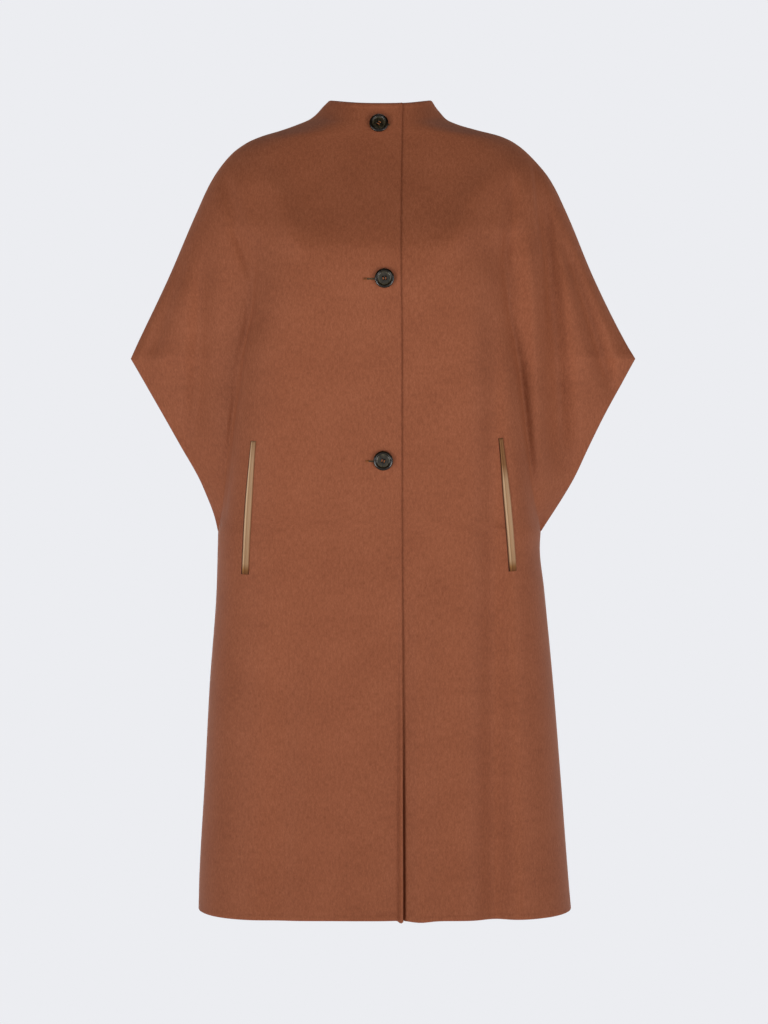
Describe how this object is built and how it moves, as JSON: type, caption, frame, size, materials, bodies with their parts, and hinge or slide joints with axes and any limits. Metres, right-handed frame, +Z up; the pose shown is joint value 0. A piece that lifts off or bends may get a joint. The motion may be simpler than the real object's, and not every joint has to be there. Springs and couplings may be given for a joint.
{
  "type": "wool cape",
  "caption": "Long double-faced wool cape with a funnel neck, wide wings with slanted arm openings, slanted pocket welts and a buttoned lapped front.",
  "frame": {"origin": "centre of the neck base, level with the line where the wearer's shoulders carry the cape", "axes": "+Z up along the garment's length; -Y is the front; +X is the wearer's left"},
  "size_m": [0.656, 0.263, 1.049],
  "materials": {
    "wool": "brushed double-faced wool, soft short nap, warm tobacco brown",
    "welt": "smooth tan leather-like strip",
    "horn": "polished dark horn-like resin"
  },
  "bodies": {
    "root": {"front_right": "wool", "front_left": "wool", "back": "wool", "pocket_welt_right": "welt", "pocket_welt_left": "welt", "button_top": "horn", "button_middle": "horn", "button_lower": "horn"}
  },
  "joints": []
}
